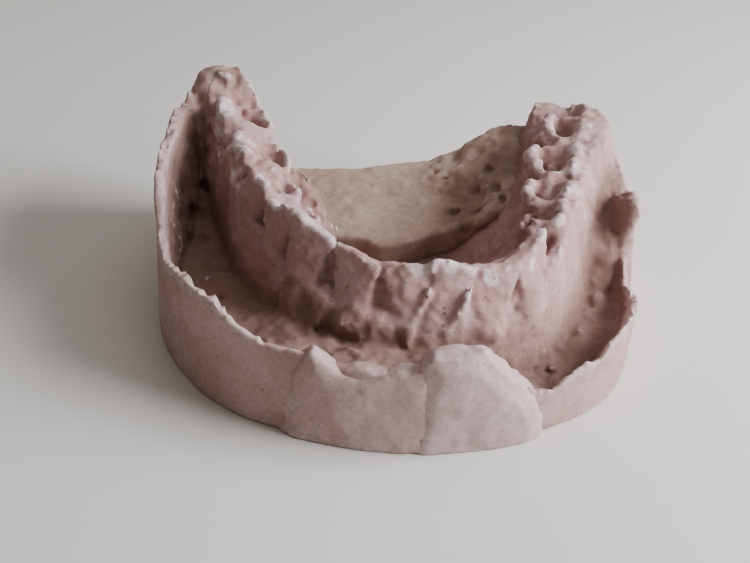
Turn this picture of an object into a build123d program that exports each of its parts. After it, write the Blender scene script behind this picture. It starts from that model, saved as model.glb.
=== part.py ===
"""Lower dental study cast in pink stone plaster, in millimetres.

The cast was poured in stages, and each pour is one piece: the base dish that was
drawn up round the impression, the arch of gums and teeth, the slab that fills the
tongue space, and two dollops that were lapped over the front wall. The origin is at
the middle of the bottom face, +X is the patient's left, -Y is the lips, +Z is up.
"""

import os

from build123d import *

# --- driving dimensions ---------------------------------------------------------
FLOOR_THICKNESS = 4.0  # base dish under the arch and the slab
BLOCK_HEIGHT = 30.0  # raw block that the rim is cut from
BLOCK_DRAFT = 0.6  # how far the block's top stands in from its foot
WALL_AT_FLOOR = 4.6  # wall thickness where it meets the floor of the dish
WALL_AT_TOP = 1.6  # wall thickness at the top of the raw block
WALL_AT_HEEL = 1.3  # wall left behind the ends of the arch
RIGHT_TROUGH_FLOOR = 8.5  # height of the trough between the wall and the gum
LEFT_TROUGH_FLOOR = 6.0
FRONT_LAND_HEIGHT, FRONT_LAND_X = 11.0, (-15.0, 9.0)  # the trough is filled in here
GUTTER_FLOOR = 6.0  # height behind the front teeth, ahead of the tongue slab
DOLLOP_PROUD = 1.3  # how far a dollop stands out from the wall
DOLLOP_LAP = 2.4  # how far a dollop reaches in over the rim
TALLER = 100.0  # cutting tools reach well past the cast

# The foot of the base dish, from the lips round by the patient's right.
BASE_FOOT = [
    (1.0, -30.8),
    (-11.0, -29.4),
    (-22.5, -24.4),
    (-30.5, -15.0),
    (-34.0, -3.0),
    (-34.0, 10.0),
    (-32.0, 21.0),
    (-26.0, 28.0),
    (-13.0, 26.0),
    (2.0, 27.5),
    (17.0, 31.0),
    (27.0, 31.6),
    (33.0, 25.0),
    (34.2, 12.0),
    (34.05, -2.0),
    (32.0, -13.0),
    (25.5, -22.0),
    (14.0, -28.4),
]
# Height of the broken rim: along Y on the patient's right and left, along X in front.
RIM_RIGHT = [
    (-40, 19), (-24, 17.5), (-20, 15.6), (-12, 15.2),
    (-6, 16.5), (0, 20.5), (10, 23.4), (40, 25),
]
RIM_LEFT = [
    (-40, 12), (-20, 10.6), (-14, 11.2), (-6, 11), (0, 11.5),
    (3.6, 14), (7, 18.6), (12, 19.4), (40, 18),
]
RIM_FRONT = [
    (-40, 19),
    (-25.4, 15.6),
    (-20.2, 12.4),
    (-15.5, 12.6),
    (-12.8, 11.6),
    (-8.6, 9.2),
    (-5.2, 9.9),
    (0.5, 11.2),
    (4.1, 13.2),
    (7.6, 13.2),
    (10.0, 11.4),
    (13.2, 8.2),
    (17.8, 6.6),
    (21.0, 8.9),
    (26.0, 10.2),
    (40, 12),
]
RIM_SPLIT_X = 1.3  # the right and left profiles meet here
RIM_FRONT_BACK_Y = -20.5  # the front profile ends here and the side ones take over

# The line through the middle of the teeth, from the back right to the back left.
ARCH_POINTS = [
    (-26.6, 25.5),
    (-24.0, 16.5),
    (-20.8, 6.0),
    (-18.4, -2.8),
    (-15.8, -8.6),
    (-11.8, -14.0),
    (-6.6, -18.3),
    (-1.2, -20.2),
    (4.4, -20.3),
    (9.6, -18.8),
    (14.6, -14.9),
    (18.0, -8.8),
    (20.4, -1.2),
    (23.0, 8.5),
    (26.6, 20.0),
    (28.6, 27.5),
]
# The gum ridge at stations along that line: distance from its back right end, height
# of the gum at the teeth's necks, half its width there, and its reach at the foot
# towards the cheek and towards the tongue.
GUM_STATIONS = [
    (0.0, 27.8, 2.4, 6.5, 8.0),
    (5.0, 25.0, 3.6, 6.6, 9.0),
    (10.7, 20.4, 4.3, 6.6, 9.0),
    (21.0, 18.9, 4.4, 6.6, 8.6),
    (30.0, 18.1, 3.7, 6.4, 7.6),
    (37.0, 17.0, 3.3, 6.0, 6.5),
    (43.5, 15.5, 3.0, 5.6, 6.0),
    (50.0, 14.4, 2.5, 5.0, 5.4),
    (56.0, 14.0, 2.3, 4.6, 5.2),
    (61.0, 14.6, 2.3, 4.6, 5.2),
    (67.0, 14.0, 2.5, 5.0, 5.4),
    (73.0, 15.1, 3.0, 5.6, 6.0),
    (80.0, 16.8, 3.3, 6.0, 6.5),
    (87.0, 17.3, 3.7, 6.2, 8.0),
    (96.0, 17.9, 4.4, 6.4, 9.6),
    (106.0, 18.4, 4.4, 6.4, 10.0),
    (112.5, 19.6, 3.8, 6.2, 9.4),
    (117.3, 20.4, 3.0, 6.2, 8.6),
]
FIRST_TOOTH_AT = 5.9  # distance along the line to the back of the first tooth

# The teeth, from the back right to the back left: width along the arch, depth across
# it, crown height above the gum, and height of the tip above the table.
MOLAR, PREMOLAR, CANINE, INCISOR = "molar", "premolar", "canine", "incisor"
TEETH = [
    (MOLAR, 9.6, 9.2, 5.0, 25.4),
    (MOLAR, 10.6, 9.4, 5.5, 24.4),
    (PREMOLAR, 7.0, 7.8, 5.5, 23.6),
    (PREMOLAR, 6.6, 7.2, 6.0, 23.0),
    (CANINE, 6.8, 6.6, 7.5, 23.0),
    (INCISOR, 6.0, 5.4, 7.0, 21.4),
    (INCISOR, 5.8, 5.0, 6.8, 20.8),
    (INCISOR, 5.4, 5.0, 7.0, 21.6),
    (INCISOR, 5.6, 5.2, 6.8, 20.8),
    (CANINE, 6.8, 6.6, 7.5, 22.6),
    (PREMOLAR, 6.8, 7.2, 6.0, 22.8),
    (PREMOLAR, 7.2, 7.8, 5.5, 22.8),
    (MOLAR, 11.0, 9.4, 5.5, 23.4),
    (MOLAR, 10.4, 9.4, 5.0, 23.4),
]
ROOT_DEPTH = 4.0  # how far each crown is sunk into the gum ridge
CONTACT = 1.04  # neighbouring crowns overlap by this share of their width

# The tongue slab's outline, wider than the space between the two sides of the arch.
SLAB_OUTLINE = [
    (-9.0, 13.0), (-4.0, 10.0), (3.0, 9.4), (8.5, 12.0),
    (12.0, 17.0), (26.0, 50.0), (-26.0, 50.0),
]
SLAB_FRONT_Y, SLAB_FRONT_HEIGHT = 9.4, 8.4
SLAB_RISE_BACKWARDS, SLAB_RISE_LEFTWARDS = 0.14, 0.06  # slopes of its top

# The two dollops as seen from the front: X and height. They meet at DOLLOP_STEP_X.
DOLLOP_STEP_X = 1.3
RIGHT_DOLLOP = [
    (DOLLOP_STEP_X, 0.0),
    (-14.4, 0.0),
    (-15.6, 4.0),
    (-14.8, 9.0),
    (-12.8, 12.9),
    (-10.7, 12.0),
    (-8.6, 10.6),
    (-6.5, 10.6),
    (-4.0, 11.4),
    (DOLLOP_STEP_X, 12.4),
]
LEFT_DOLLOP = [
    (DOLLOP_STEP_X, 0.0),
    (DOLLOP_STEP_X, 12.8),
    (2.4, 14.0),
    (4.5, 14.6),
    (7.8, 14.4),
    (10.2, 12.6),
    (13.2, 9.6),
    (16.2, 7.4),
    (17.6, 4.0),
    (16.8, 0.0),
]


# --- shared outlines and planes -------------------------------------------------
def inset(points, distance):
    """The closed outline's points, each moved inwards across its two neighbours."""
    moved = []
    for i, (x, y) in enumerate(points):
        before, after = points[i - 1], points[(i + 1) % len(points)]
        along = Vector(after[0] - before[0], after[1] - before[1]).normalized()
        moved.append((x + along.Y * distance, y - along.X * distance))
    return moved


def foot_block(bottom, bottom_inset, top, top_inset):
    """A solid of the foot's outline, between two heights and with an inset at each."""
    with BuildPart(mode=Mode.PRIVATE) as block:
        for height, distance in ((bottom, bottom_inset), (top, top_inset)):
            with BuildSketch(Plane.XY.offset(height)):
                with BuildLine():
                    Spline(*inset(BASE_FOOT, distance), periodic=True)
                make_face()
        loft()
    return block.part


with BuildLine() as tooth_line:
    Spline(*ARCH_POINTS)
arch_edge = tooth_line.edges()[0]


def arch_frame(distance):
    """The point on the tooth line at a distance along it, and the way to the cheek."""
    share = distance / arch_edge.length
    along = arch_edge.tangent_at(share)
    return arch_edge.position_at(share), Vector(along.Y, -along.X)


def across_arch(distance):
    """A plane across the arch: its X towards the cheek, its Y up."""
    point, outwards = arch_frame(distance)
    return Plane(point, x_dir=outwards, z_dir=outwards.cross(Vector(0, 0, 1)))


def over_tooth(distance, height):
    """A level plane at a tooth: its X along the arch, its Y towards the tongue."""
    point, outwards = arch_frame(distance)
    return Plane(point + Vector(0, 0, height), x_dir=(-outwards.Y, outwards.X, 0), z_dir=(0, 0, 1))


# --- gum ridge ------------------------------------------------------------------
with BuildPart() as gum_ridge:
    for distance, neck_height, neck_half, cheek_reach, tongue_reach in GUM_STATIONS:
        with BuildSketch(across_arch(distance)):
            Polygon(
                (-tongue_reach, FLOOR_THICKNESS),
                (cheek_reach, FLOOR_THICKNESS),
                (cheek_reach, RIGHT_TROUGH_FLOOR),
                (neck_half, neck_height),
                (-neck_half, neck_height),
                (-tongue_reach, GUTTER_FLOOR),
                align=None,
            )
    loft()
    add(foot_block(0, WALL_AT_HEEL, BLOCK_HEIGHT, BLOCK_DRAFT + WALL_AT_HEEL), mode=Mode.INTERSECT)

# --- teeth ----------------------------------------------------------------------
# Each crown's sections from the root up: share of the crown's height, then shares of
# its width and depth. The root section is sunk into the gum.
CROWN_SECTIONS = {
    MOLAR: [(-1, 0.80, 0.80), (0.45, CONTACT, 1.0), (1.0, 0.90, 0.74)],
    PREMOLAR: [(-1, 0.74, 0.80), (0.45, CONTACT, 1.0), (1.0, 0.80, 0.62)],
    CANINE: [(-1, 0.66, 0.95), (0.50, CONTACT, 0.86), (1.0, 0.42, 0.30)],
    INCISOR: [(-1, 0.62, 1.00), (0.60, CONTACT, 0.62), (1.0, 0.94, 0.30)],
}
CORNER_SHARE = 0.42  # corner radius as a share of a section's shorter side
FOSSA_DEPTH = {MOLAR: 1.5, PREMOLAR: 1.0}  # hollow in the chewing face
FOSSA_SHARE = 0.58  # width of the hollow as a share of the crown's depth


def crown(kind, width, depth, height, tip, distance):
    """One crown with its root, standing on the arch."""
    with BuildPart(mode=Mode.PRIVATE) as tooth:
        for share, width_share, depth_share in CROWN_SECTIONS[kind]:
            level = tip - height - ROOT_DEPTH if share < 0 else tip - height * (1 - share)
            across, deep = width * width_share, depth * depth_share
            with BuildSketch(over_tooth(distance, level)):
                RectangleRounded(across, deep, CORNER_SHARE * min(across, deep))
        loft()
        if kind in FOSSA_DEPTH:
            hollow, half = FOSSA_DEPTH[kind], FOSSA_SHARE * depth / 2
            radius = (half**2 + hollow**2) / (2 * hollow)
            with Locations(over_tooth(distance, tip - hollow + radius)):
                Sphere(radius, mode=Mode.SUBTRACT)
    return tooth.part


crowns = []
distance = FIRST_TOOTH_AT
for kind, width, depth, height, tip in TEETH:
    crowns.append(crown(kind, width, depth, height, tip, distance + width / 2))
    distance += width

# --- troughs between the wall and the gum ---------------------------------------
block = foot_block(0, 0, BLOCK_HEIGHT, BLOCK_DRAFT)
hollow = foot_block(FLOOR_THICKNESS, WALL_AT_FLOOR, BLOCK_HEIGHT, WALL_AT_TOP)

with BuildPart() as slab_space:
    with BuildSketch(Plane.XY.offset(FLOOR_THICKNESS)):
        Polygon(*SLAB_OUTLINE, align=None)
    extrude(amount=TALLER)

with BuildPart() as tongue_space:
    with BuildSketch(Plane.XY.offset(GUTTER_FLOOR)):
        Polygon(*ARCH_POINTS, (TALLER, TALLER), (-TALLER, TALLER), align=None)
    extrude(amount=TALLER)

with BuildPart() as trough_levels:
    for height, start_x, end_x, end_y in (
        (RIGHT_TROUGH_FLOOR, -TALLER, RIM_SPLIT_X, TALLER),
        (LEFT_TROUGH_FLOOR, RIM_SPLIT_X, TALLER, TALLER),
        (FRONT_LAND_HEIGHT, *FRONT_LAND_X, 0.0),
    ):
        with BuildSketch(Plane.XY):
            Polygon((start_x, -TALLER), (end_x, -TALLER), (end_x, end_y), (start_x, end_y), align=None)
        extrude(amount=height)

with BuildPart() as trough_fill:
    add(hollow)
    add(trough_levels.part, mode=Mode.INTERSECT)
    add(tongue_space.part, mode=Mode.SUBTRACT)
    add(slab_space.part, mode=Mode.SUBTRACT)

# --- arch: gums, teeth and the floor of the troughs, one pour -------------------
with BuildPart() as arch_pour:
    add(gum_ridge.part)
    add(crowns)
    add(trough_fill.part)


# --- base dish ------------------------------------------------------------------
def above_profile(points, plane, reach):
    """Everything above a rim profile drawn on a plane, from there out to a reach."""
    first, last = points[0], points[-1]
    with BuildPart(mode=Mode.PRIVATE) as tool:
        with BuildSketch(plane):
            with BuildLine():
                Spline(*points)
                Polyline(last, (last[0], TALLER), (first[0], TALLER), first)
            make_face()
        extrude(amount=reach)
    return tool.part


with BuildPart() as base_pour:
    add(block)
    add(hollow, mode=Mode.SUBTRACT)
    add(above_profile(RIM_RIGHT, Plane.YZ.offset(RIM_SPLIT_X), -TALLER), mode=Mode.SUBTRACT)
    add(above_profile(RIM_LEFT, Plane.YZ.offset(RIM_SPLIT_X), TALLER), mode=Mode.SUBTRACT)
    add(above_profile(RIM_FRONT, Plane.XZ.offset(-RIM_FRONT_BACK_Y), TALLER), mode=Mode.SUBTRACT)
    add(gum_ridge.part, mode=Mode.SUBTRACT)
    add(slab_space.part, mode=Mode.SUBTRACT)

# --- tongue slab ----------------------------------------------------------------
slab_top = Plane(
    (0, SLAB_FRONT_Y, SLAB_FRONT_HEIGHT),
    z_dir=(-SLAB_RISE_LEFTWARDS, -SLAB_RISE_BACKWARDS, 1),
)

with BuildPart() as tongue_space_fill:
    add(slab_space.part)
    add(block, mode=Mode.INTERSECT)
    split(bisect_by=slab_top, keep=Keep.BOTTOM)
    add(gum_ridge.part, mode=Mode.SUBTRACT)

# --- dollops over the front wall ------------------------------------------------
with BuildPart() as front_band:
    add(foot_block(0, -DOLLOP_PROUD, BLOCK_HEIGHT, BLOCK_DRAFT - DOLLOP_PROUD))
    add(foot_block(-1, DOLLOP_LAP, BLOCK_HEIGHT + 1, DOLLOP_LAP), mode=Mode.SUBTRACT)


def dollop(outline, label):
    """One dollop: its outline from the front, cut from the band over the front wall."""
    with BuildPart() as lobe:
        with BuildSketch(Plane.XZ):
            Polygon(*outline, align=None)
        extrude(amount=TALLER)
        add(front_band.part, mode=Mode.INTERSECT)
        add(base_pour.part, mode=Mode.SUBTRACT)
    lobe.part.label = label
    return lobe


front_patch_right = dollop(RIGHT_DOLLOP, "front_patch_right")
front_patch_left = dollop(LEFT_DOLLOP, "front_patch_left")

# --- hand over ------------------------------------------------------------------
base_pour.part.label = "base_pour"
arch_pour.part.label = "arch_pour"
tongue_space_fill.part.label = "tongue_space_fill"

os.makedirs("parts", exist_ok=True)
for piece in (base_pour, arch_pour, tongue_space_fill, front_patch_right, front_patch_left):
    export_step(piece.part, f"parts/{piece.part.label}.step")
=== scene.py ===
"""The looks of a lower dental study cast in pink stone plaster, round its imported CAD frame.

Each pour is sculpted as a field of distances on one grid, in millimetres, with the inside
negative, and the grid is turned into a mesh. The frame is in metres.
"""

import math

import bpy
import numpy as np
from mathutils import Matrix, Vector


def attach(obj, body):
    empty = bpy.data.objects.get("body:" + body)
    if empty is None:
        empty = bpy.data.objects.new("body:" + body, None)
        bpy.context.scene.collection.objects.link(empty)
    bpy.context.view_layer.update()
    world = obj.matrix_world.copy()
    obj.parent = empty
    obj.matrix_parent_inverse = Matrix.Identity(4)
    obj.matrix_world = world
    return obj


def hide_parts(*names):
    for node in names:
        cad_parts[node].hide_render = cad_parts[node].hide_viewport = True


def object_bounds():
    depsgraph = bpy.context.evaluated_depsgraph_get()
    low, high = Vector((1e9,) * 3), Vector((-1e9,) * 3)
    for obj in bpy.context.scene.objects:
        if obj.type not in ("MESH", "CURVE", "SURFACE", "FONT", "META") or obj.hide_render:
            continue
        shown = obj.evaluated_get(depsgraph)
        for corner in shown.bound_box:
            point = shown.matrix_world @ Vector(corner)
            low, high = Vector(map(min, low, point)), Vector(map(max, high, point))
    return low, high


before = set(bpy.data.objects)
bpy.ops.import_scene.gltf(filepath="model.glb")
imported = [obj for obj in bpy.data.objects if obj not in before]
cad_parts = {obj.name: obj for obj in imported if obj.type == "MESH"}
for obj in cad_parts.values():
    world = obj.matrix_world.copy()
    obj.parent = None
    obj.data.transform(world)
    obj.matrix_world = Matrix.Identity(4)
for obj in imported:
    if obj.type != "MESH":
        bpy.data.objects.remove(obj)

CAD_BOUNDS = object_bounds()
MM = 0.001

# --- grid -----------------------------------------------------------------------
PITCH = 0.3
MARGIN = 1.5
(LOW_X, LOW_Y, _), (HIGH_X, HIGH_Y, HIGH_Z) = [[v / MM for v in corner] for corner in CAD_BOUNDS]
GRID_X = np.arange(LOW_X - MARGIN, HIGH_X + MARGIN, PITCH, dtype=np.float32)
GRID_Y = np.arange(LOW_Y - MARGIN, HIGH_Y + MARGIN, PITCH, dtype=np.float32)
GRID_Z = np.arange(-MARGIN, HIGH_Z + MARGIN, PITCH, dtype=np.float32)
AXES = (GRID_X, GRID_Y, GRID_Z)
PLAN_X, PLAN_Y = np.meshgrid(GRID_X, GRID_Y, indexing="ij")
UP = GRID_Z[None, None, :]


# --- small field tools ----------------------------------------------------------
def smooth_min(a, b, k):
    """The lower of two fields, blended over k."""
    h = np.clip(0.5 + 0.5 * (b - a) / k, 0, 1)
    return b + (a - b) * h - k * h * (1 - h)


def smooth_max(a, b, k):
    """The higher of two fields, blended over k."""
    return -smooth_min(-a, -b, k)


def step_between(value, start, end):
    """0 at start, 1 at end, and a smooth curve between them."""
    t = np.clip((value - start) / (end - start), 0, 1)
    return t * t * (3 - 2 * t)


def noise(cell, seed, axes=AXES):
    """Smooth noise from -1 to 1 with lumps of about one cell, on a grid of one to three axes."""
    rng = np.random.default_rng(seed)
    spots = [(axis - axis[0]) / cell for axis in axes]
    values = rng.uniform(-1, 1, [int(spot[-1]) + 2 for spot in spots]).astype(np.float32)
    for number, spot in enumerate(spots):
        below = np.floor(spot).astype(int)
        share = (spot - below).astype(np.float32)
        share = share * share * (3 - 2 * share)
        share = share.reshape([-1 if k == number else 1 for k in range(len(axes))])
        first = np.take(values, below, axis=number)
        values = first + (np.take(values, below + 1, axis=number) - first) * share
    return values


def rough(lumps, seed, axes=AXES):
    """Several sizes of noise added together. lumps is a list of (cell, height)."""
    return sum(height * noise(cell, seed + n, axes) for n, (cell, height) in enumerate(lumps))


def blurred(field, reach):
    """The field averaged over a cube of that reach each way."""
    steps = max(1, int(round(reach / PITCH)))
    for axis in range(3):
        padding = [(steps + 1, steps) if k == axis else (0, 0) for k in range(3)]
        running = np.cumsum(np.pad(field, padding, mode="edge"), axis=axis, dtype=np.float64)
        ends = [slice(2 * steps + 1, None) if k == axis else slice(None) for k in range(3)]
        starts = [slice(None, -2 * steps - 1) if k == axis else slice(None) for k in range(3)]
        field = ((running[tuple(ends)] - running[tuple(starts)]) / (2 * steps + 1)).astype(np.float32)
    return field


def window(low, high):
    """The slices of the grid that cover a box, and the coordinates of the points in it."""
    spans = [slice(*np.searchsorted(axis, (a, b))) for axis, a, b in zip(AXES, low, high)]
    x, y, z = [axis[span] for axis, span in zip(AXES, spans)]
    return tuple(spans), x[:, None, None], y[None, :, None], z[None, None, :]


def lump(field, centre, radii, blend=0.6, add=True, turn=0.0):
    """Adds an ellipsoid to the field in place, or carves it out. turn is about Z, in degrees."""
    reach = max(radii) + 2 * blend + PITCH
    spans, x, y, z = window([c - reach for c in centre], [c + reach for c in centre])
    if 0 in field[spans].shape:
        return
    c, s = math.cos(math.radians(turn)), math.sin(math.radians(turn))
    dx, dy = x - centre[0], y - centre[1]
    across, along, height = c * dx + s * dy, c * dy - s * dx, z - centre[2]
    size = np.sqrt((across / radii[0]) ** 2 + (along / radii[1]) ** 2 + (height / radii[2]) ** 2)
    ball = (size - 1) * min(radii)
    if add:
        field[spans] = smooth_min(field[spans], ball, blend)
    else:
        field[spans] = smooth_max(field[spans], -ball, blend)


# --- curves in plan -------------------------------------------------------------
def curve_through(points, closed=False, steps=24):
    """Points close together on a smooth curve through the given ones."""
    p = np.array(points, float)
    if closed:
        p = np.concatenate([p[-1:], p, p[:2]])
    else:
        p = np.concatenate([2 * p[:1] - p[1:2], p, 2 * p[-1:] - p[-2:-1]])
    t = np.linspace(0, 1, steps, endpoint=False)[:, None]
    rows = []
    for a, b, c, d in zip(p, p[1:], p[2:], p[3:]):
        rows.append(b + 0.5 * t * (c - a + t * (2 * a - 5 * b + 4 * c - d + t * (3 * (b - c) + d - a))))
    if not closed:
        rows.append(p[-2:-1])
    return np.concatenate(rows)


AT_ONCE = 4096  # points measured from a curve at a time, to save memory


def beside(curve, u=PLAN_X, v=PLAN_Y):
    """How far each point lies to the right of a curve, its nearest curve point, and how far past that."""
    flat = np.stack([u.ravel(), v.ravel()], axis=1)
    number = np.empty(len(flat), int)
    for start in range(0, len(flat), AT_ONCE):
        part = flat[start : start + AT_ONCE, None, :]
        number[start : start + AT_ONCE] = ((part - curve[None]) ** 2).sum(axis=2).argmin(axis=1)
    ahead = np.gradient(curve, axis=0)[number]
    ahead /= np.linalg.norm(ahead, axis=1, keepdims=True)
    off = flat - curve[number]
    right = off[:, 0] * ahead[:, 1] - off[:, 1] * ahead[:, 0]
    far = np.where(np.hypot(*off.T) > 2 * np.abs(right) + 1, np.hypot(*off.T) * np.sign(right), right)
    past = np.clip((off * ahead).sum(axis=1), -0.5, 0.5)
    return far.reshape(u.shape).astype(np.float32), number.reshape(u.shape), past.reshape(u.shape)


# The foot of the base dish, from the lips round by the patient's right.
BASE_FOOT = [
    (1.0, -30.8),
    (-11.0, -29.4),
    (-22.5, -24.4),
    (-30.5, -15.0),
    (-34.0, -3.0),
    (-34.0, 10.0),
    (-32.0, 21.0),
    (-26.0, 28.0),
    (-13.0, 26.0),
    (2.0, 27.5),
    (17.0, 31.0),
    (27.0, 31.6),
    (33.0, 25.0),
    (34.2, 12.0),
    (34.05, -2.0),
    (32.0, -13.0),
    (25.5, -22.0),
    (14.0, -28.4),
]
# The line through the middle of the teeth, from the back right to the back left.
ARCH_POINTS = [
    (-26.6, 25.5),
    (-24.0, 16.5),
    (-20.8, 6.0),
    (-18.4, -2.8),
    (-15.8, -8.6),
    (-11.8, -14.0),
    (-6.6, -18.3),
    (-1.2, -20.2),
    (4.4, -20.3),
    (9.6, -18.8),
    (14.6, -14.9),
    (18.0, -8.8),
    (20.4, -1.2),
    (23.0, 8.5),
    (26.6, 20.0),
    (28.6, 27.5),
]
INSET, *_ = beside(curve_through(BASE_FOOT, closed=True))  # distance in from the outline
BEARING = np.arctan2(PLAN_Y, PLAN_X)  # direction from the middle of the cast

RUN_ON = 24  # curve points added straight on past each end of the arch line
arch_curve = curve_through(ARCH_POINTS)
counts = np.arange(1, RUN_ON + 1)[:, None]
before = arch_curve[0] - (arch_curve[1] - arch_curve[0]) * counts[::-1]
after = arch_curve[-1] + (arch_curve[-1] - arch_curve[-2]) * counts
arch_curve = np.concatenate([before, arch_curve, after])
arch_steps = np.linalg.norm(np.diff(arch_curve, axis=0), axis=1)
arch_lengths = np.concatenate([[0], np.cumsum(arch_steps)]) - arch_steps[:RUN_ON].sum()
ACROSS, arch_number, past_number = beside(arch_curve)  # positive towards the cheek and lips
ALONG = (arch_lengths[arch_number] + past_number).astype(np.float32)  # distance along the arch line
MIDLINE_AT = 57.0  # distance along the arch line to the middle of the front teeth
LEFT_GRINDERS_FROM = 74  # distance along the arch line to the left grinders


def round_the_rim(points):
    """Values given at places round the rim, as (x, y, value), spread over the whole plan."""
    bearings = [math.atan2(y, x) for x, y, _ in points]
    order = np.argsort(bearings)
    at = [bearings[i] for i in order]
    values = [points[i][2] for i in order]
    return np.interp(BEARING, at, values, period=2 * math.pi).astype(np.float32)


def along_arch(stations, column):
    """One column of a table of stations, spread over the plan by distance along the arch."""
    return np.interp(ALONG, [row[0] for row in stations], [row[column] for row in stations])


# --- heights over the plan ------------------------------------------------------
# Rim of the wall: x, y, height. It is ragged, and lowest at the front left.
RIM = [
    (-30.0, -15.3, 14.9),
    (-26.9, -20.7, 15.6),
    (-25.4, -22.3, 15.2),
    (-23.8, -23.9, 14.1),
    (-21.9, -25.0, 12.9),
    (-20.2, -26.2, 12.4),
    (-17.0, -27.8, 12.8),
    (-13.9, -29.2, 12.6),
    (-12.1, -29.7, 12.2),
    (-10.7, -30.1, 11.4),
    (-8.6, -30.5, 9.7),
    (-5.2, -30.9, 10.2),
    (-1.8, -30.9, 11.0),
    (0.5, -30.6, 11.6),
    (4.1, -29.9, 12.8),
    (7.6, -29.7, 12.8),
    (10.0, -28.9, 11.4),
    (13.2, -27.6, 8.6),
    (15.4, -26.7, 7.4),
    (17.8, -25.6, 6.8),
    (19.0, -25.0, 8.0),
    (20.9, -24.0, 8.9),
    (25.2, -21.2, 9.7),
    (27.0, -19.7, 10.8),
    (29.4, -16.8, 11.3),
    (31.0, -14.0, 11.0),
    (31.5, -6.3, 11.0),
    (33.5, 0.0, 12.0),
    (34.0, 2.0, 17.0),
    (34.2, 4.0, 19.4),
    (34.2, 6.5, 19.0),
    (34.0, 10.0, 19.0),
    (33.4, 16.0, 20.2),
    (32.8, 23.0, 22.4),
    (28.0, 30.0, 21.8),
    (22.0, 31.5, 15.4),
    (10.0, 29.0, 12.0),
    (0.0, 27.0, 10.8),
    (-10.0, 26.0, 9.8),
    (-18.0, 27.0, 12.0),
    (-24.0, 28.0, 24.8),
    (-29.0, 25.0, 25.0),
    (-33.0, 17.0, 23.8),
    (-34.2, 8.0, 22.6),
    (-34.2, 3.0, 22.0),
    (-34.0, -1.0, 20.6),
    (-33.6, -4.0, 17.6),
    (-33.0, -8.0, 15.8),
    (-32.0, -12.0, 15.0),
]
# Width of the flat top of the rim: x, y, width.
RIM_WIDTH = [
    (-30, -15, 0.9),
    (-10, -30, 1.4),
    (6, -30, 1.8),
    (18, -26, 0.8),
    (30, -15, 0.7),
    (34, 3, 2.4),
    (34, 12, 3.0),
    (28, 30, 3.0),
    (0, 27, 2.0),
    (-24, 28, 3.0),
    (-34, 12, 1.6),
    (-34, 3, 1.1),
    (-33, -6, 1.0),
]
# Height of the trough between the wall and the gum: x, y, height.
TROUGH = [
    (-33, -6, 9.5),
    (-30, -15, 9.4),
    (-24, -24, 10.0),
    (-16, -27, 11.4),
    (-8, -29, 11.4),
    (2, -29, 11.0),
    (7, -29, 10.0),
    (12, -27, 6.6),
    (18, -25, 4.9),
    (24, -21, 5.6),
    (30, -14, 6.6),
    (34, -5, 7.6),
    (34, 0, 12.6),
    (34, 4, 16.4),
    (34, 8, 18.2),
    (33, 18, 19.6),
    (28, 29, 21.5),
    (0, 27, 9.0),
    (-24, 28, 23.0),
    (-30, 24, 21.6),
    (-33, 18, 16.0),
    (-34, 12, 12.0),
    (-34, 5, 10.0),
]
# The gum ridge: distance along the arch, heights at the necks on the cheek side and the
# tongue side, half its width there, and its reach at the foot to the cheek and the tongue.
GUM = [
    (-4.0, 25.0, 25.0, 1.4, 9.0, 10.0),
    (0.6, 28.0, 27.6, 1.8, 10.0, 11.0),
    (3.0, 27.2, 26.4, 2.6, 9.6, 12.0),
    (5.6, 24.6, 24.0, 3.4, 8.4, 12.0),
    (9.0, 21.4, 20.4, 3.8, 7.4, 12.5),
    (15.0, 19.6, 18.6, 4.2, 6.8, 12.5),
    (21.0, 19.2, 18.4, 4.2, 6.6, 13.0),
    (30.0, 18.4, 17.8, 3.6, 6.6, 12.0),
    (37.0, 17.2, 16.8, 3.2, 6.4, 9.0),
    (43.5, 15.5, 15.6, 3.0, 5.6, 6.5),
    (50.0, 14.8, 15.0, 2.8, 5.0, 5.6),
    (56.0, 14.6, 15.0, 2.7, 4.8, 5.4),
    (61.0, 14.8, 15.0, 2.6, 4.8, 5.4),
    (67.0, 15.6, 15.0, 2.8, 5.6, 5.8),
    (72.0, 17.6, 15.4, 3.1, 6.6, 6.8),
    (75.5, 19.6, 15.6, 3.1, 7.0, 8.0),
    (80.0, 21.2, 16.0, 2.9, 7.4, 10.5),
    (87.0, 22.2, 16.8, 3.3, 7.8, 13.5),
    (96.0, 22.8, 17.6, 3.8, 8.6, 15.5),
    (106.0, 23.2, 18.8, 4.6, 9.6, 16.0),
    (112.5, 23.4, 20.6, 5.8, 10.4, 14.0),
    (117.3, 23.2, 21.6, 5.8, 11.0, 12.0),
]
GUTTER_FLOOR = 4.8  # behind the front teeth
FLOOR_THICKNESS = 4.0  # of the base dish
SLAB_OUTLINE = [
    (-22.0, 15.0),
    (-14.0, 11.6),
    (-9.0, 8.8),
    (-3.0, 6.6),
    (2.1, 6.4),
    (6.4, 8.0),
    (10.0, 9.4),
    (14.0, 8.6),
    (22.0, 9.0),
    (34.0, 20.0),
    (38.0, 45.0),
    (-38.0, 45.0),
    (-32.0, 21.0),
]
SLAB_FRONT_Y, SLAB_FRONT_HEIGHT = 9.4, 8.8
SLAB_RISE_BACK, SLAB_RISE_LEFT = 0.14, 0.06  # per millimetre
# Where pits open in the slab: x, y.
SLAB_PITS = [
    (0.6, 15.0),
    (1.8, 17.4),
    (3.4, 15.6),
    (4.4, 18.4),
    (5.8, 16.4),
    (3.0, 20.6),
    (6.6, 19.8),
    (7.8, 17.8),
    (-3.4, 21.0),
    (-6.4, 16.6),
    (8.6, 22.0),
]

rim_height, rim_width, trough_height = [round_the_rim(table) for table in (RIM, RIM_WIDTH, TROUGH)]
cheek_neck, tongue_neck, gum_half, cheek_reach, tongue_reach = [along_arch(GUM, k) for k in range(1, 6)]

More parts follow.
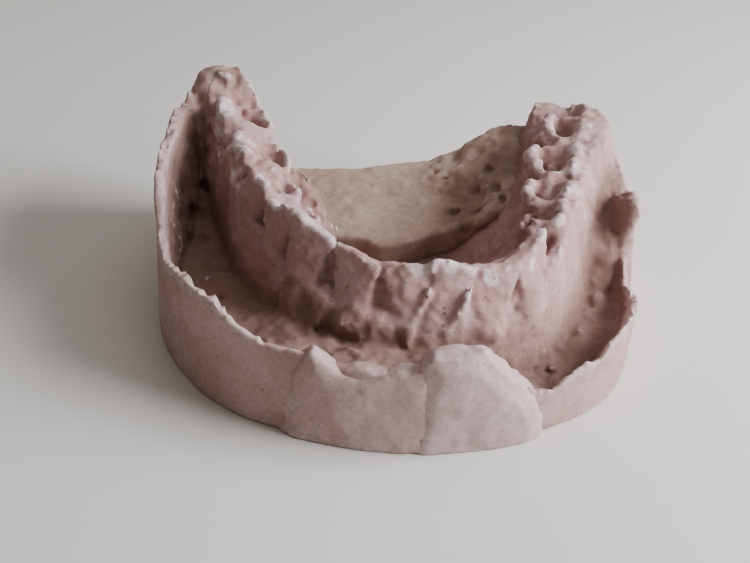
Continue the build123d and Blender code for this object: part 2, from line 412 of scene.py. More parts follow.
PLAN = (GRID_X, GRID_Y)
tongue_side = ACROSS < 0
ragged = rough([(6.0, 0.4), (2.4, 0.5)], 11, PLAN) - 0.7 * np.abs(noise(1.1, 15, PLAN)) + 0.2
wall = rim_height + ragged - 0.3 * np.clip(INSET, 0, None)
set_in = 1.9 * np.exp(-(((PLAN_Y + 4.0) / 4.5) ** 2)) * (PLAN_X > 20)  # the left wall leans in here
wall = wall - 3.0 * np.clip(set_in - INSET, 0, None)
wall = wall - 3.0 * np.clip(INSET - rim_width - 0.3 * noise(5.0, 21, PLAN), 0, None)

# The gum steps up from its tongue side to its cheek side, later beside the left grinders.
by_left_grinders = ALONG > LEFT_GRINDERS_FROM
step_start = np.where(by_left_grinders, 0.2, -1.0)
step_end = np.where(by_left_grinders, 2.4, 1.0)
cheek_share = step_between(ACROSS, step_start, step_end)
neck_height = tongue_neck + (cheek_neck - tongue_neck) * cheek_share
gum_reach = np.where(tongue_side, tongue_reach, cheek_reach)
fall = np.clip((np.abs(ACROSS) - gum_half) / (gum_reach - gum_half), 0, 1)
fall = np.where(tongue_side, fall**0.8, fall * fall * (3 - 2 * fall))
gum_foot = np.where(tongue_side, GUTTER_FLOOR, trough_height) - 1.0
gum = neck_height - (neck_height - gum_foot) * fall
gum += rough([(7.0, 0.5), (3.0, 0.4), (1.4, 0.2)], 31, PLAN) * step_between(fall, 0, 0.3)

trough = np.where(tongue_side, GUTTER_FLOOR, trough_height)
trough = trough + rough([(5.0, 0.7), (2.0, 0.35), (0.9, 0.12)], 41, PLAN)
trough = smooth_max(trough, FLOOR_THICKNESS + 0.7, 0.5)
cast_height = smooth_max(smooth_max(gum, trough, 1.5), np.where(tongue_side, -5.0, wall), 1.0)
# Mask of painted shade: how sheltered the stone is, low beside the gum, and less so on the tongue side.
shelter_shade = step_between(fall, 0.3, 0.9) * step_between(INSET, 0.9, 2.2) * np.where(tongue_side, 0.6, 1.0)
slope = np.hypot(*np.gradient(cast_height, PITCH))
cast = (UP - cast_height[:, :, None]) / np.sqrt(1 + np.minimum(slope, 3.0) ** 2)[:, :, None]

# --- molars and premolars -------------------------------------------------------
# From the back on each side: width along the arch, depth across it, heights of the crest on
# the cheek side and the tongue side, and depth of the hollow in the chewing face.
RIGHT_SIDE = [
    (9.6, 9.2, 25.2, 23.4, 2.2),
    (10.6, 9.4, 24.6, 22.6, 2.6),
    (7.0, 7.8, 23.6, 21.4, 2.0),
    (6.6, 7.2, 23.2, 21.0, 1.6),
]
LEFT_SIDE = [
    (6.8, 7.2, 22.8, 20.6, 2.4),
    (7.2, 7.8, 22.6, 21.4, 4.2),
    (11.0, 9.4, 23.2, 22.4, 4.4),
    (10.4, 9.4, 23.6, 22.8, 4.6),
]
RIGHT_SIDE_AT, LEFT_SIDE_AT = 5.9, 77.7  # distances along the arch to the first of each
ROOT_DEPTH = 7.0
SQUARENESS = 2.8  # of a grinder seen from above, where 2 is an ellipse


def add_grinder(field, place, width, depth, cheek_tip, tongue_tip, hollow):
    """Joins a molar or premolar to the field, at a distance along the arch line."""
    number = np.searchsorted(arch_lengths, place)
    here = arch_curve[number]
    ahead = arch_curve[number + 1] - arch_curve[number - 1]
    ahead /= np.linalg.norm(ahead)
    side = max(width, depth) * 0.7 + 1.5
    tip = max(cheek_tip, tongue_tip)
    spans, x, y, z = window((*(here - side), tip - 12), (*(here + side), tip + 2))
    a = (x - here[0]) * ahead[0] + (y - here[1]) * ahead[1]
    b = (x - here[0]) * ahead[1] - (y - here[1]) * ahead[0]
    up = (z - tip + ROOT_DEPTH) / ROOT_DEPTH
    half_a = width * np.interp(up, (-0.7, 0.0, 0.65, 1.0), (0.36, 0.42, 0.53, 0.44))
    half_b = depth * np.interp(up, (-0.7, 0.0, 0.55, 1.0), (0.44, 0.46, 0.49, 0.36))
    size = (np.abs(a / half_a) ** SQUARENESS + np.abs(b / half_b) ** SQUARENESS) ** (1 / SQUARENESS)
    u, v = a / (width / 2), b / (depth / 2)
    face = tongue_tip + (cheek_tip - tongue_tip) * step_between(v, -0.7, 0.7)
    face = face - hollow * np.exp(-np.abs(u / 0.6) ** 3 - np.abs((v + 0.26) / 0.44) ** 3)
    face = face - 0.5 * np.exp(-((u / 0.14) ** 2)) - 0.4 * np.abs(u) ** 3
    tooth = smooth_max((size - 1) * np.minimum(half_a, half_b), (z - face) * 0.75, 0.7)
    tooth = np.maximum(tooth, tip - 11.5 - z)
    field[spans] = smooth_min(field[spans], tooth.astype(np.float32), 0.8)


for place, teeth in ((RIGHT_SIDE_AT, RIGHT_SIDE), (LEFT_SIDE_AT, LEFT_SIDE)):
    for width, *sizes in teeth:
        add_grinder(cast, place + width / 2, width, *sizes)
        place += width

# --- front teeth ----------------------------------------------------------------
# Two ends of the biting edge, the middle of the neck, width at the neck, and thickness at
# the edge and at the neck, from the right canine to the left canine.
FRONT_TEETH = [
    ((-15.0, -12.4, 23.0), (-9.7, -16.5, 21.6), (-13.7, -16.4, 13.6), 4.0, 1.6, 5.8),
    ((-9.7, -17.2, 21.7), (-4.2, -21.2, 20.9), (-7.2, -20.4, 13.6), 3.4, 1.3, 4.8),
    ((-4.2, -21.3, 20.6), (2.0, -21.2, 21.2), (-0.6, -22.0, 12.6), 2.0, 1.3, 4.8),
    ((1.8, -21.5, 22.6), (7.6, -20.6, 20.6), (4.0, -21.8, 13.0), 4.2, 1.3, 4.6),
    ((7.2, -20.6, 20.5), (12.9, -18.7, 20.4), (9.4, -20.8, 13.0), 4.6, 1.3, 4.8),
    ((12.4, -18.3, 20.6), (17.2, -13.2, 23.2), (15.0, -17.2, 13.6), 5.4, 1.7, 5.8),
]


def add_blade(field, start, end, neck, neck_width, edge_thick, neck_thick):
    """Joins a front tooth to the field: broad and thin at its edge, narrow and thick at its neck."""
    start, end, neck = [np.array(p) for p in (start, end, neck)]
    middle = (start + end) / 2
    width = np.linalg.norm((end - start)[:2])
    ahead = (end - start)[:2] / width
    low = np.minimum(np.minimum(start, end), neck) - (4, 4, 5)
    high = np.maximum(np.maximum(start, end), neck) + (4, 4, 2)
    spans, x, y, z = window(low, high)
    up = np.clip((z - neck[2]) / (middle[2] - neck[2]), -0.6, 1.1)
    dx = x - neck[0] - (middle[0] - neck[0]) * up
    dy = y - neck[1] - (middle[1] - neck[1]) * up
    a = dx * ahead[0] + dy * ahead[1]
    b = dx * ahead[1] - dy * ahead[0]
    share = np.clip(up, 0, 1)
    half_a = (neck_width + (width - neck_width) * share**0.8) / 2
    half_b = (neck_thick + (edge_thick - neck_thick) * share**0.9) / 2
    edge = middle[2] + (end[2] - start[2]) * a / width
    belly = 0.35 * (a / half_a) ** 2
    sides = smooth_max(np.abs(a) - half_a, np.abs(b) - half_b * (1 - belly), 0.4)
    tooth = smooth_max(sides, (z - edge) * 0.9, 0.4)
    tooth = np.maximum(tooth, neck[2] - 3.5 - z)
    field[spans] = smooth_min(field[spans], tooth.astype(np.float32), 0.6)


for blade in FRONT_TEETH:
    add_blade(cast, *blade)

# A thin web of stone closes the gaps between the teeth.
WEB = [(5, 21.5), (33, 20.8), (44, 20.2), (56, 20.0), (70, 20.0), (84, 20.6), (100, 20.8), (114, 20.6)]
WEB_HALF_WIDTH = 0.9
web_top = np.interp(ALONG, *zip(*WEB))
web_lean = np.clip(0.26 * (web_top[:, :, None] - UP), 0, 1.3)  # it thickens as it goes down
web = np.abs(ACROSS[:, :, None] + 0.4 - 0.3 * web_lean) - WEB_HALF_WIDTH - web_lean
web = smooth_max(web, UP - web_top[:, :, None], 0.8)
cast = smooth_min(cast, web.astype(np.float32), 1.2)

# --- strokes, lumps and voids ---------------------------------------------------


def stroke(field, points, radius, blend=0.5, add=True):
    """Adds a rounded thread along points to the field in place, or cuts it as a groove."""
    for start, end in zip(points, points[1:]):
        start, end = np.array(start), np.array(end)
        reach = radius + 2 * blend + PITCH
        spans, x, y, z = window(np.minimum(start, end) - reach, np.maximum(start, end) + reach)
        run = end - start
        share = ((x - start[0]) * run[0] + (y - start[1]) * run[1] + (z - start[2]) * run[2]) / (run @ run)
        share = np.clip(share, 0, 1)
        off = [axis - c - share * r for axis, c, r in zip((x, y, z), start, run)]
        thread = (np.sqrt(off[0] ** 2 + off[1] ** 2 + off[2] ** 2) - radius).astype(np.float32)
        if add:
            field[spans] = smooth_min(field[spans], thread, blend)
        else:
            field[spans] = smooth_max(field[spans], -thread, blend)


# Hollows between and over the front teeth and in the troughs: centre, radii, turn about Z.
HOLLOWS = [
    ((-10.8, -19.4, 18.4), (0.7, 1.5, 3.6), 40),
    ((-4.4, -23.2, 18.0), (0.8, 1.4, 3.8), 20),
    ((4.4, -24.0, 17.8), (1.8, 1.0, 3.2), -10),
    ((12.9, -20.8, 17.4), (0.4, 0.9, 2.4), -40),
    ((-8.6, -24.2, 11.6), (2.6, 1.5, 0.6), 15),
    ((-29.7, 6.5, 11.6), (1.5, 1.9, 1.3), 0),
    ((-28.8, 1.6, 10.2), (1.3, 1.6, 1.0), 0),
    ((-28.6, 11.6, 13.6), (1.0, 1.5, 1.0), 0),
    ((-24.0, -5.4, 9.4), (0.6, 0.6, 0.6), 0),
    ((-24.6, -11.9, 9.2), (0.6, 0.7, 0.7), 0),
    ((27.2, -7.0, 7.2), (0.6, 0.8, 0.6), 0),
    ((18.4, -20.6, 5.0), (1.8, 1.1, 0.5), 30),
    ((20.5, -14.4, 8.4), (0.5, 0.5, 0.5), 0),
]
# Lumps at the foot of the front teeth, on the left wall and by the right grinders: centre, radii.
LUMPS = [
    ((-7.4, -22.0, 13.2), (2.4, 1.5, 1.4)),
    ((-4.6, -22.8, 12.8), (1.8, 1.2, 1.2)),
    ((-11.4, -19.8, 13.4), (1.2, 1.0, 1.6)),
    ((33.4, 2.8, 17.2), (1.8, 2.8, 2.6)),
    ((-22.2, 2.0, 21.6), (1.5, 2.6, 1.9)),
    ((-15.4, 11.4, 13.6), (2.6, 3.6, 3.6)),
    ((-13.2, 6.6, 12.6), (2.6, 3.4, 3.4)),
    ((-11.2, 2.6, 11.2), (2.4, 3.0, 3.0)),
]
# Air voids along the tongue side of both arms: centre, radii.
VOIDS = [
    ((-14.4, 11.6, 16.6), (1.4, 1.4, 1.5)),
    ((-11.9, 8.4, 15.2), (1.3, 1.5, 1.5)),
    ((-9.6, 3.4, 13.4), (1.3, 1.4, 1.5)),
    ((-12.8, 4.4, 15.8), (1.0, 1.1, 1.1)),
    ((-15.6, 8.0, 19.0), (0.9, 1.2, 1.0)),
    ((12.8, 17.0, 12.2), (1.5, 0.8, 0.8)),
    ((9.4, 13.0, 10.2), (1.3, 0.7, 0.7)),
    ((15.4, 20.6, 14.0), (0.9, 1.4, 0.7)),
    ((15.9, 15.0, 13.7), (0.7, 1.3, 0.9)),
    ((12.6, 11.4, 11.2), (1.2, 0.6, 0.6)),
    ((17.6, 17.6, 15.6), (0.7, 1.3, 1.0)),
    ((16.4, 11.4, 13.6), (0.6, 1.1, 0.7)),
]
for centre, radii, turn in HOLLOWS:
    lump(cast, centre, radii, 0.5, add=False, turn=turn)
for centre, radii in LUMPS:
    lump(cast, centre, radii, 1.8)
for centre, radii in VOIDS:
    lump(cast, centre, radii, 0.4, add=False)

SHARP_RIDGE = [
    (2.0, -21.9, 21.6),
    (1.6, -22.8, 18.0),
    (0.5, -23.2, 15.8),
    (-0.5, -23.8, 13.4),
    (-0.5, -24.6, 11.6),
]
stroke(cast, SHARP_RIDGE, 0.3)
stroke(cast, [(7.4, -21.6, 20.0), (6.4, -22.9, 17.8), (5.4, -23.3, 15.4), (4.2, -23.8, 12.8)], 0.25)
stroke(cast, [(-10.8, -18.6, 15.8), (-10.2, -20.4, 14.0), (-9.4, -21.6, 12.8)], 0.35)
stroke(cast, [(-3.4, -22.6, 19.0), (-2.3, -23.1, 17.2), (-1.2, -23.5, 15.8)], 0.12, 0.2, add=False)
stroke(cast, [(10.7, -22.0, 13.8), (12.3, -21.2, 14.2)], 0.15, 0.25, add=False)

# Raised crests along the tongue side of the left grinders.
stroke(cast, [(16.8, -7.0, 20.2), (17.2, -9.0, 20.8), (18.6, -9.4, 20.8)], 0.5, 0.8)
stroke(cast, [(17.8, 2.6, 20.8), (17.0, -0.6, 20.8), (17.8, -3.2, 20.4), (19.6, -3.6, 20.4)], 0.7, 0.9)
stroke(cast, [(20.2, 12.4, 21.6), (19.0, 9.4, 22.0), (19.4, 6.0, 21.6), (20.8, 3.8, 21.2)], 0.8, 0.9)
stroke(cast, [(24.6, 24.0, 22.2), (23.4, 20.0, 22.2), (23.4, 16.6, 21.8), (24.6, 14.0, 21.4)], 0.8, 0.9)

# Where chalk shows on worn stone, and brown spots, a stain on a front tooth and painted shade in
# sheltered places by the arms and grinders: centre, radius.
CHALK_SPOTS = [
    ((-12.6, -14.2, 22.6), 1.8),
    ((-10.4, -15.9, 21.6), 1.4),
    ((-16.4, -10.2, 22.8), 1.8),
    ((-17.6, -8.0, 22.6), 1.4),
    ((-19.4, -3.6, 22.8), 1.6),
    ((-22.6, 2.4, 23.6), 2.2),
    ((-26.6, 9.0, 22.4), 2.6),
    ((-27.2, 11.6, 22.2), 2.2),
    ((-24.6, 0.4, 21.4), 1.8),
    ((-22.6, 6.6, 22.5), 2.4),
    ((-23.4, 5.6, 23.8), 2.2),
    ((-26.2, 12.6, 24.6), 2.0),
    ((-25.6, 15.4, 24.8), 2.0),
    ((-25.4, 17.6, 25.2), 1.4),
    ((0.6, -21.6, 20.6), 1.5),
    ((4.2, -21.6, 21.4), 1.4),
    ((6.6, -21.0, 20.4), 1.3),
    ((9.6, -21.2, 19.2), 1.8),
    ((14.8, -17.4, 19.4), 1.4),
    ((16.8, -14.2, 22.4), 1.4),
    ((19.6, -9.4, 22.4), 1.6),
    ((22.4, -1.4, 22.0), 2.6),
    ((24.0, 4.6, 22.2), 2.8),
    ((26.4, 11.0, 22.2), 2.8),
    ((29.0, 18.6, 22.2), 2.6),
]
# Brown spots: a stain on a front tooth, and painted shade in sheltered places.
STAINS_AND_SHADE = [
    ((-1.9, -21.6, 20.2), 1.5),
    ((-27.0, 26.0, 27.0), 7.0),
    ((26.0, 20.4, 20.0), 3.2),
    ((25.0, 17.0, 20.0), 2.6),
    ((22.2, 8.7, 19.6), 3.0),
    ((19.6, -0.9, 19.4), 2.4),
    ((18.2, -6.4, 19.6), 2.0),
    ((-14.2, 11.6, 15.5), 4.0),
    ((-11.4, 7.0, 14.0), 4.0),
    ((-9.6, 3.0, 12.6), 3.2),
    ((13.5, 18.0, 11.5), 7.0),
    ((11.0, 12.0, 9.6), 5.0),
    ((18.0, 20.0, 14.0), 6.0),
]

# --- surface roughness ----------------------------------------------------------
cast += rough([(3.5, 0.24), (1.5, 0.2), (0.75, 0.15)], 51)
# The grinders are crumbly, and those on the right the more so.
grinders = step_between(np.abs(ALONG - MIDLINE_AT), 14.0, 20.0) * (np.abs(ACROSS) < 7)
grinders = grinders * np.where(ALONG > MIDLINE_AT, 0.45, 1.0)
cast += step_between(UP, 17.0, 21.0) * grinders[:, :, None] * rough([(2.4, 0.42), (1.2, 0.3)], 55)

# --- pieces ---------------------------------------------------------------------
flare = 0.05 * step_between(-PLAN_X, 20, 30)[:, :, None] * np.clip(UP - 8, 0, 14)
outline = -INSET[:, :, None] + 0.012 * UP - flare + rough([(9.0, 0.25), (3.0, 0.12), (1.2, 0.05)], 61)
solid = smooth_max(smooth_max(cast, outline, 0.4), -UP, 0.4)

HIDDEN = 0.05  # how far a pour's edge lies under its neighbour's skin
OVERLAP = 0.9
WALL_THICKNESS = 2.6  # of the base dish, on the whole
wall_depth = WALL_THICKNESS + 0.6 * noise(6.0, 71, PLAN)
in_dish = (INSET - wall_depth)[:, :, None]  # positive inside the wall
base = np.maximum(solid, np.minimum(in_dish - OVERLAP, UP - FLOOR_THICKNESS))
base = np.where(in_dish > 0, np.maximum(base, solid + HIDDEN), base)
arch = np.maximum(solid, np.maximum(-in_dish, FLOOR_THICKNESS - UP))

slab_edge, *_ = beside(curve_through(SLAB_OUTLINE, closed=True))
slab_edge = slab_edge + rough([(3.0, 0.5), (1.2, 0.25)], 81, PLAN)


def slab_slope(x, y):
    """Height of the slab's even slope, up towards the back and the left."""
    return SLAB_FRONT_HEIGHT + SLAB_RISE_BACK * (y - SLAB_FRONT_Y) + SLAB_RISE_LEFT * x


slab_top = slab_slope(PLAN_X, PLAN_Y) + 0.03 * np.clip(PLAN_X - 5, 0, 12) ** 2  # it climbs the left arm
slab_top = slab_top + rough([(6.0, 0.35), (2.5, 0.2), (1.0, 0.1)], 91, PLAN)
slab = smooth_max((UP - slab_top[:, :, None]) * 0.97, slab_edge[:, :, None], 0.8)
crumbly = step_between(PLAN_X + 0.3 * PLAN_Y, 9, 15)  # beside the left arm
slab += crumbly[:, :, None] * rough([(3.6, 0.6), (1.8, 0.5), (0.9, 0.25)], 85)
for centre, radii in VOIDS:
    lump(slab, centre, radii, 0.6, add=False)
for number, (x, y) in enumerate(SLAB_PITS):
    width = 0.4 + 0.2 * (number % 3)
    lump(slab, (x, y, slab_slope(x, y) + 0.4), (width, 0.5, 0.5), 0.3, add=False)
slab = np.maximum(smooth_max(slab, outline, 0.8), FLOOR_THICKNESS - UP)
slab = np.maximum(slab, -cast - 0.3)  # it ends just under the skin of the cast

# The two dollops as seen from the front: X and height, clockwise.
DOLLOPS = {
    "front_patch_right": [
        (3.2, -2.0),
        (-13.6, -2.0),
        (-15.2, 3.0),
        (-15.0, 7.0),
        (-13.6, 11.0),
        (-12.2, 13.0),
        (-9.6, 11.2),
        (-7.6, 10.6),
        (-4.6, 11.2),
        (-1.0, 12.2),
        (2.6, 12.0),
        (3.4, 7.0),
    ],
    "front_patch_left": [
        (16.6, -2.0),
        (1.0, -2.0),
        (0.8, 5.0),
        (1.0, 10.0),
        (1.4, 13.2),
        (4.0, 14.6),
        (7.6, 14.6),
        (10.2, 13.0),
        (13.0, 9.8),
        (15.6, 7.6),
        (17.2, 4.0),
    ],
}
DOLLOP_PROUD = {"front_patch_right": 1.0, "front_patch_left": 1.3}
DOLLOP_LAP = 2.6
front_x, front_z = np.meshgrid(GRID_X, GRID_Z, indexing="ij")


def dollop(name, seed):
    """The field of one dollop that is lapped over the front wall."""
    edge, *_ = beside(curve_through(DOLLOPS[name], closed=True), front_x, front_z)
    edge = -edge + rough([(4.0, 0.4)], seed, (GRID_X, GRID_Z))
    proud = DOLLOP_PROUD[name] * (0.45 + 0.55 * step_between(-edge, 0.0, 2.5))
    skin_out = outline - 0.25 * rough([(3.0, 0.5), (1.2, 0.3)], seed + 5) - proud[:, None, :]
    front = (PLAN_Y + 15)[:, :, None]
    broken = edge[:, None, :] + rough([(2.2, 0.35), (1.0, 0.25)], seed + 7)
    field = smooth_max(smooth_max(skin_out, broken, 0.7), (INSET - DOLLOP_LAP)[:, :, None], 0.8)
    return np.maximum(np.maximum(field, front), -UP)


# --- meshing --------------------------------------------------------------------
def skin(field):
    """Corners and four-sided faces of the surface where the field is nought."""
    within = field < 0
    cells = np.zeros([n - 1 for n in field.shape], np.int8)
    shifts = [(i, j, k) for i in (0, 1) for j in (0, 1) for k in (0, 1)]
    for i, j, k in shifts:
        cells += within[i : i - 1 or None, j : j - 1 or None, k : k - 1 or None]
    crossed = np.argwhere((cells > 0) & (cells < 8))
    numbers = np.full(cells.shape, -1, np.int32)
    numbers[tuple(crossed.T)] = np.arange(len(crossed))
    total, count = np.zeros((len(crossed), 3)), np.zeros(len(crossed))
    for axis in range(3):
        for start in [s for s in shifts if s[axis] == 0]:
            corner = crossed + start
            f0 = field[tuple(corner.T)]
            end = corner.copy()
            end[:, axis] += 1
            f1 = field[tuple(end.T)]
            cut = (f0 < 0) != (f1 < 0)
            share = f0[cut] / (f0[cut] - f1[cut])
            spot = corner[cut].astype(float)
            spot[:, axis] += share
            total[cut] += spot
            count[cut] += 1
    spots = total / count[:, None]
    corners = np.array([axis[0] for axis in AXES]) + spots * PITCH
    quads = []
    for axis in range(3):
        u, v = (axis + 1) % 3, (axis + 2) % 3
        low = [slice(1, -1)] * 3
        low[axis] = slice(0, -1)
        high = list(low)
        high[axis] = slice(1, None)
        change = within[tuple(low)] != within[tuple(high)]
        spots = np.argwhere(change) + [0 if k == axis else 1 for k in range(3)]
        du, dv = np.eye(3, dtype=int)[u], np.eye(3, dtype=int)[v]
        around = [spots - du - dv, spots - dv, spots, spots - du]
        quad = np.stack([numbers[tuple(c.T)] for c in around], axis=1)
        starts_inside = within[tuple(spots.T)]
        quad[~starts_inside] = quad[~starts_inside][:, ::-1]
        quads.append(quad)
    return corners, np.concatenate(quads)


def sampled(field, corners):
    """The field's values at the grid points nearest to the corners."""
    steps = np.rint((corners - [axis[0] for axis in AXES]) / PITCH).astype(int)
    steps = np.clip(steps[:, : field.ndim], 0, np.array(field.shape) - 1)
    return field[tuple(steps.T)]


def mesh_of(name, field, material, marks):
    """A shown piece: the skin of a field. Each of marks gives its corners one value for the shader."""
    corners, quads = skin(field)
    mesh = bpy.data.meshes.new(name)
    mesh.vertices.add(len(corners))
    mesh.vertices.foreach_set("co", (corners * MM).astype(np.float32).ravel())
    mesh.loops.add(quads.size)
    mesh.loops.foreach_set("vertex_index", quads.ravel())
    mesh.polygons.add(len(quads))
    mesh.polygons.foreach_set("loop_start", np.arange(0, quads.size, 4))
    mesh.polygons.foreach_set("use_smooth", np.ones(len(quads), bool))
    mesh.update(calc_edges=True)
    mesh.validate()
    for label, spots in (("chalk", CHALK_SPOTS), ("stain_and_shade", STAINS_AND_SHADE)):
        nearness = [1 - np.linalg.norm(corners - centre, axis=1) / radius for centre, radius in spots]
        values = np.clip(np.max(nearness, axis=0), 0, 1).astype(np.float32)
        mesh.attributes.new(label, "FLOAT", "POINT").data.foreach_set("value", values)
    for label, mark in marks.items():
        values = sampled(mark, corners).astype(np.float32)
        mesh.attributes.new(label, "FLOAT", "POINT").data.foreach_set("value", values)
    mesh.materials.append(material)
    piece = bpy.data.objects.new(name, mesh)
    bpy.context.scene.collection.objects.link(piece)
    return piece


# --- materials ------------------------------------------------------------------
def node(tree, kind, links=(), **settings):
    """A new shader node. Settings name its properties or, with a trailing number, its inputs."""
    new = tree.nodes.new("ShaderNode" + kind)
    for key, value in settings.items():
        if hasattr(new, key):
            setattr(new, key, value)
        else:
            new.inputs[int(key[3:])].default_value = value
    for number, source in links:
        tree.links.new(source, new.inputs[number])
    return new


def ranged(tree, source, low, high, start=0.0, end=1.0):
    """A value spread smoothly from start at low to end at high."""
    new = node(tree, "MapRange", [(0, source)], interpolation_type="SMOOTHSTEP")
    for number, value in enumerate((low, high, start, end), 1):
        new.inputs[number].default_value = value
    return new.outputs[0]


def sums(tree, how, a, b):
    """Two values, or a value and a number, put together by arithmetic."""
    new = node(tree, "Math", [(0, a)], operation=how)
    if isinstance(b, (int, float)):
        new.inputs[1].default_value = b
    else:
        tree.links.new(b, new.inputs[1])
    return new.outputs[0]


def mixed(tree, share, a, b, how="MIX"):
    """Two colours mixed by a share."""
    new = node(tree, "Mix", data_type="RGBA", blend_type=how)
    tree.links.new(share, new.inputs[0])
    for number, colour in ((6, a), (7, b)):
        if isinstance(colour, tuple):
            new.inputs[number].default_value = (*colour, 1)
        else:
            tree.links.new(colour, new.inputs[number])
    return new.outputs[2]


# Colours: chalk white, which also serves as painted highlight; painted shade for hollows and pits; painted
# tan shade for sheltered stone; brown for a stain and for painted shade.
CHALK_AND_HIGHLIGHT = (0.57, 0.49, 0.49)
PAINTED_SHADE_UMBER = (0.17, 0.095, 0.075)
SHELTER_SHADE_TAN = (0.19, 0.112, 0.094)
STAIN_AND_SHADE_BROWN = (0.20, 0.128, 0.098)


def stone(name, pale, deep, chalk, hollow, pits, shelter_shade_share):
    """Chalky plaster: mottled and pitted, with painted shade in its hollows, pits and sheltered
    places, and whiter on its edges from chalk wear and painted highlight.

    The last four arguments say how strongly the chalk with its painted highlight, the painted
    shade in hollows, the pits and the painted tan shade of sheltered stone show, from 0 to 1.
    """
    material = bpy.data.materials.new(name)
    material.use_nodes = True
    tree = material.node_tree
    shader = tree.nodes["Principled BSDF"]
    shader.inputs["Roughness"].default_value = 0.92
    shader.inputs["Specular IOR Level"].default_value = 0.25
    place = node(tree, "TexCoord").outputs["Object"]
    mm = node(tree, "VectorMath", [(0, place)], operation="SCALE")
    mm.inputs["Scale"].default_value = 1 / MM
    mm = mm.outputs[0]

    def speckle(scale, detail, roughness=0.6):
        """Noise from 0 to 1, with its scale in lumps to a millimetre."""
        new = node(tree, "TexNoise", [(0, mm)])
        new.inputs["Scale"].default_value = scale
        new.inputs["Detail"].default_value = detail
        new.inputs["Roughness"].default_value = roughness
        return new.outputs[0]

    clouds, grain, powder = speckle(0.13, 5), speckle(1.6, 4), speckle(4.5, 3)
    edge = node(tree, "Attribute", attribute_name="edge").outputs["Fac"]
    crest = node(tree, "Attribute", attribute_name="crest").outputs["Fac"]

    colour = mixed(tree, ranged(tree, clouds, 0.38, 0.64), deep, pale)
    tone = ranged(tree, grain, 0.3, 0.7, 0.90, 1.08)
    tone = sums(tree, "MULTIPLY", tone, ranged(tree, powder, 0.25, 0.75, 0.95, 1.05))
    shade = node(tree, "CombineColor", [(0, tone), (1, tone), (2, tone)]).outputs[0]
    one = node(tree, "Value")
    one.outputs[0].default_value = 1.0
    colour = mixed(tree, one.outputs[0], colour, shade, "MULTIPLY")

    # Painted shade: sheltered stone is tinted towards a darker tan, broken up by the clouds.
    low = node(tree, "Attribute", attribute_name="shelter_shade").outputs["Fac"]
    low = sums(tree, "ADD", low, sums(tree, "SUBTRACT", clouds, 0.5))
    colour = mixed(tree, sums(tree, "MULTIPLY", ranged(tree, low, 0.1, 0.9), shelter_shade_share), colour, SHELTER_SHADE_TAN)
    # Painted shade: hollows, where the wider mark of how far the stone stands out is low, are darkened.
    depth = sums(tree, "MULTIPLY", ranged(tree, crest, 0.02, -0.34), hollow)
    colour = mixed(tree, depth, colour, PAINTED_SHADE_UMBER)
    spots = node(tree, "Attribute", attribute_name="chalk").outputs["Fac"]
    # Brown spots: a stain on a front tooth, and painted shade in sheltered places.
    stains_and_shade = node(tree, "Attribute", attribute_name="stain_and_shade").outputs["Fac"]
    colour = mixed(tree, sums(tree, "MULTIPLY", ranged(tree, stains_and_shade, 0.0, 0.6), 0.7), colour, STAIN_AND_SHADE_BROWN)
    # Whiter stone from chalk wear and painted highlight: sharp edges, crests and the chalk spots, broken
    # into patches.
    chalk_and_highlight = sums(tree, "ADD", sums(tree, "MULTIPLY", edge, 1.2), crest)
    chalk_and_highlight = sums(tree, "ADD", chalk_and_highlight, sums(tree, "MULTIPLY", spots, 1.4))
    patchy = sums(tree, "SUBTRACT", speckle(0.7, 7, 0.75), 0.5)
    chalk_and_highlight = sums(tree, "ADD", chalk_and_highlight, sums(tree, "MULTIPLY", patchy, 1.9))
    chalk_and_highlight = sums(tree, "MULTIPLY", ranged(tree, chalk_and_highlight, 0.50, 0.86), chalk)
    colour = mixed(tree, chalk_and_highlight, colour, CHALK_AND_HIGHLIGHT)

    bumps = sums(tree, "ADD", grain, sums(tree, "MULTIPLY", powder, 0.5))
    for scale, size, share in ((0.5, 0.16, 0.45), (1.1, 0.19, 0.5), (2.1, 0.22, 0.55)):
        cells = node(tree, "TexVoronoi", [(0, mm)])
        cells.inputs["Scale"].default_value = scale
        some = node(tree, "SeparateColor", [(0, cells.outputs["Color"])]).outputs[0]
        some = ranged(tree, some, share, share + 0.3)
        radius = sums(tree, "MULTIPLY", some, size)
        hole = sums(tree, "SUBTRACT", radius, cells.outputs["Distance"])
        hole = sums(tree, "MULTIPLY", ranged(tree, hole, 0.0, 0.06), pits)
        # Painted shade: each pit is darkened as well as dented by the bump.
        colour = mixed(tree, sums(tree, "MULTIPLY", hole, 0.8), colour, PAINTED_SHADE_UMBER)
        bumps = sums(tree, "SUBTRACT", bumps, sums(tree, "MULTIPLY", hole, 1.6))
    tree.links.new(colour, shader.inputs["Base Color"])
    bump = node(tree, "Bump", [(2, bumps)])
    bump.inputs["Strength"].default_value = 0.75
    bump.inputs["Distance"].default_value = 0.00036
    tree.links.new(bump.outputs[0], shader.inputs["Normal"])
    return material


# --- build ----------------------------------------------------------------------
# Material slot, pale and deep colours, and how strongly each pour shows chalk with painted
# highlight, painted shade in hollows, pits, and painted tan shade where sheltered.
LOOKS = {
    "base_pour": ("base_stone", (0.43, 0.295, 0.29), (0.35, 0.225, 0.215), 0.32, 0.5, 0.6, 0.85),
    "arch_pour": ("arch_stone", (0.42, 0.275, 0.278), (0.34, 0.20, 0.195), 0.75, 0.6, 1.0, 0.9),
    "tongue_space_fill": ("slab_stone", (0.42, 0.31, 0.26), (0.35, 0.245, 0.20), 0.3, 0.6, 0.8, 0.0),
    "front_patch_right": ("patch_stone", (0.45, 0.325, 0.32), (0.39, 0.265, 0.255), 0.45, 0.5, 0.5, 0.0),
    "front_patch_left": ("patch_stone", (0.47, 0.355, 0.355), (0.42, 0.30, 0.295), 0.5, 0.5, 0.5, 0.0),
}
FIELDS = {
    "base_pour": base,
    "arch_pour": arch,
    "tongue_space_fill": slab,
    "front_patch_right": dollop("front_patch_right", 101),
    "front_patch_left": dollop("front_patch_left", 111),
}
whole = np.minimum.reduce(list(FIELDS.values()))
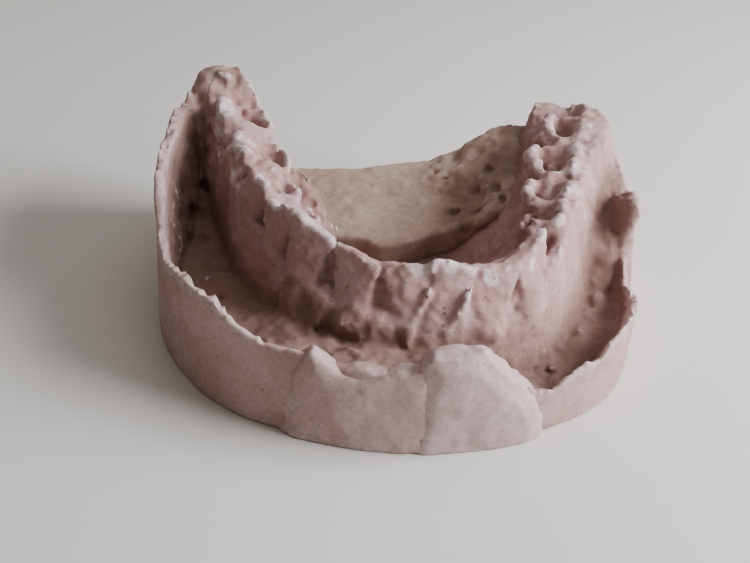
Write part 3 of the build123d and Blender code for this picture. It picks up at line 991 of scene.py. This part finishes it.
# How far the stone stands out from its surroundings, near and further off, which places painted
# highlight and painted shade, and the mask of painted shade where the stone is sheltered.
MARKS = {
    label: ((blurred(whole, spread) - whole) / spread).astype(np.float32)
    for label, spread in (("edge", 0.6), ("crest", 2.4))
}
MARKS["shelter_shade"] = shelter_shade
for part, (slot, *look) in LOOKS.items():
    piece = mesh_of(part + "_sculpt", FIELDS[part], stone(part + "_" + slot, *look), MARKS)
    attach(piece, "root")
    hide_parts(part)

# --- stage ----------------------------------------------------------------------
bpy.ops.mesh.primitive_plane_add(size=4, location=(0, 0, 0))
floor = bpy.context.object
floor.name = "floor"
floor_material = bpy.data.materials.new("pale_floor")
floor_material.use_nodes = True
floor_material.node_tree.nodes["Principled BSDF"].inputs["Base Color"].default_value = (0.62, 0.60, 0.57, 1)
floor_material.node_tree.nodes["Principled BSDF"].inputs["Roughness"].default_value = 0.9
floor.data.materials.append(floor_material)

CAMERA_AT = Vector((-0.0144, -0.1301, 0.0867))
CAMERA_AIM = Vector((-0.00376, -0.00824, 0.0103))
CAMERA_ROLL = 5.0  # degrees
camera_data = bpy.data.cameras.new("camera")
camera_data.lens = 50.4
camera_data.sensor_width = 36
camera_data.clip_start = 0.01
camera = bpy.data.objects.new("camera", camera_data)
bpy.context.scene.collection.objects.link(camera)
facing = (CAMERA_AIM - CAMERA_AT).to_track_quat("-Z", "Y").to_matrix()
roll = Matrix.Rotation(math.radians(CAMERA_ROLL), 3, "Z")
camera.matrix_world = Matrix.Translation(CAMERA_AT) @ (facing @ roll).to_4x4()
bpy.context.scene.camera = camera


def lamp(name, at, aim, size, power, colour):
    """A square soft light."""
    data = bpy.data.lights.new(name, "AREA")
    data.size = size
    data.energy = power
    data.color = colour
    light = bpy.data.objects.new(name, data)
    light.location = at
    light.rotation_euler = (Vector(aim) - Vector(at)).to_track_quat("-Z", "Y").to_euler()
    bpy.context.scene.collection.objects.link(light)


lamp("window", (0.32, -0.06, 0.18), (0, 0, 0.01), 0.24, 4.1, (0.96, 0.98, 1.0))
lamp("ceiling", (0.1, 0.2, 0.8), (0, 0, 0.01), 0.7, 1.9, (0.98, 0.98, 1.0))
world = bpy.data.worlds.new("room")
world.use_nodes = True
world.node_tree.nodes["Background"].inputs["Color"].default_value = (1.0, 0.86, 0.75, 1)
world.node_tree.nodes["Background"].inputs["Strength"].default_value = 0.22
bpy.context.scene.world = world
